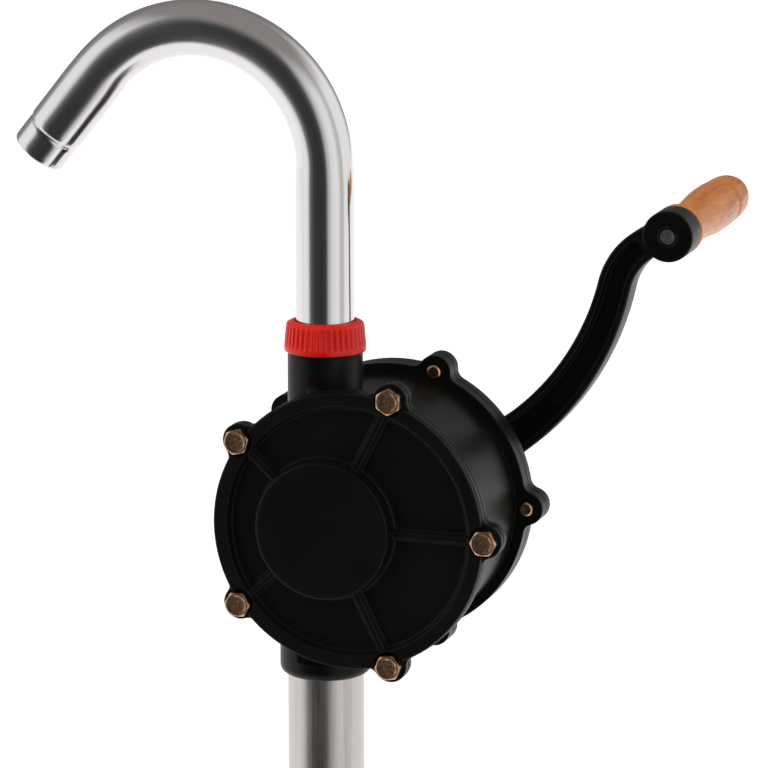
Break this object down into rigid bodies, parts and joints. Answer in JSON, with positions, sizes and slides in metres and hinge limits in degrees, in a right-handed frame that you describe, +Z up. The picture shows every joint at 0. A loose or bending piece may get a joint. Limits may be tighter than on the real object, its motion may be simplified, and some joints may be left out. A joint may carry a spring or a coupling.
{
  "type": "drum barrel pump",
  "caption": "Hand-cranked rotary vane pump with a swivelling gooseneck spout, a telescopic suction tube and a screw-in bung adaptor.",
  "frame": {"origin": "centre of the drum's bung seat under the adaptor's gasket, on the tube axis", "axes": "+Z up the suction tube, -Y towards the front cover, +X towards the chamber's side; the spout heads along -X"},
  "size_m": [0.3601, 0.2859, 0.7497],
  "materials": {
    "black_paint": "semi-gloss black enamel over castings",
    "steel_tube": "drawn steel tube with a fine lengthwise grain",
    "polished_steel": "polished bright steel",
    "zinc_gold": "yellow passivated zinc plate on steel bolts",
    "red_plastic": "glossy moulded plastic",
    "black_plastic": "moulded plastic",
    "white_plastic": "moulded sliding ring",
    "black_rubber": "moulded rubber",
    "gasket_paper": "oiled gasket paper",
    "varnished_wood": "turned and varnished beech",
    "cast_iron": "machined casting",
    "bright_steel": "ground or zinc plated steel",
    "bronze": "sintered bronze",
    "vane_plastic": "laminated phenolic"
  },
  "bodies": {
    "adaptor": {"bung_adaptor": "black_paint", "bung_gasket": "black_rubber"},
    "clamp_screw": {"clamp_screw": "black_plastic"},
    "pump": {"pump_body": "black_paint", "front_cover": "black_paint", "rear_cover": "black_paint", "front_gasket": "gasket_paper", "rear_gasket": "gasket_paper", "front_bolts": "zinc_gold", "rear_bolts": "zinc_gold", "front_bush": "bronze", "rear_bush": "bronze", "shaft_seal": "black_rubber", "gland_nut": "bronze", "outlet_seal": "black_rubber", "inlet_gasket": "black_rubber", "upper_tube": "steel_tube"},
    "spout": {"spout_tube": "polished_steel"},
    "collar": {"collar_nut": "red_plastic"},
    "crank": {"rotor": "cast_iron", "rotor_shaft": "bright_steel", "vane_1": "vane_plastic", "vane_2": "vane_plastic", "vane_3": "vane_plastic", "vane_4": "vane_plastic", "vane_springs": "bright_steel", "crank_arm": "black_paint", "crank_key": "bright_steel", "crank_washer": "bright_steel", "crank_nut": "bright_steel", "handle_bolt": "bright_steel"},
    "grip": {"handle_grip": "varnished_wood"},
    "middle_tube": {"middle_tube": "steel_tube", "middle_tube_ring": "white_plastic"},
    "lower_tube": {"lower_tube": "steel_tube", "lower_tube_ring": "white_plastic", "foot_strainer": "black_plastic"}
  },
  "joints": [
    {"name": "clamp_screw_turn", "type": "hinge", "parent": "adaptor", "child": "clamp_screw", "pos_m": [0, -0.04, 0.0175], "axis": [0, 1, 0], "range_deg": [0, 360]},
    {"name": "pump_height_slide", "type": "slide", "parent": "adaptor", "child": "pump", "axis": [0, 0, 1], "range_m": [-0.07, 0.18]},
    {"name": "spout_swivel", "type": "hinge", "parent": "pump", "child": "spout", "pos_m": [0, 0, 0.3], "axis": [0, 0, 1], "continuous": true},
    {"name": "collar_turn", "type": "hinge", "parent": "pump", "child": "collar", "pos_m": [0, 0, 0.29], "axis": [0, 0, 1], "range_deg": [0, 990]},
    {"name": "crank_turn", "type": "hinge", "parent": "pump", "child": "crank", "pos_m": [0.0095, 0.05, 0.19], "axis": [0, 1, 0], "continuous": true},
    {"name": "handle_spin", "type": "hinge", "parent": "crank", "child": "grip", "pos_m": [0.16717, 0.17, 0.3391], "axis": [0, 1, 0], "continuous": true},
    {"name": "middle_tube_slide", "type": "slide", "parent": "pump", "child": "middle_tube", "axis": [0, 0, -1], "range_m": [0, 0.27]},
    {"name": "lower_tube_slide", "type": "slide", "parent": "middle_tube", "child": "lower_tube", "axis": [0, 0, -1], "range_m": [0, 0.26]}
  ]
}
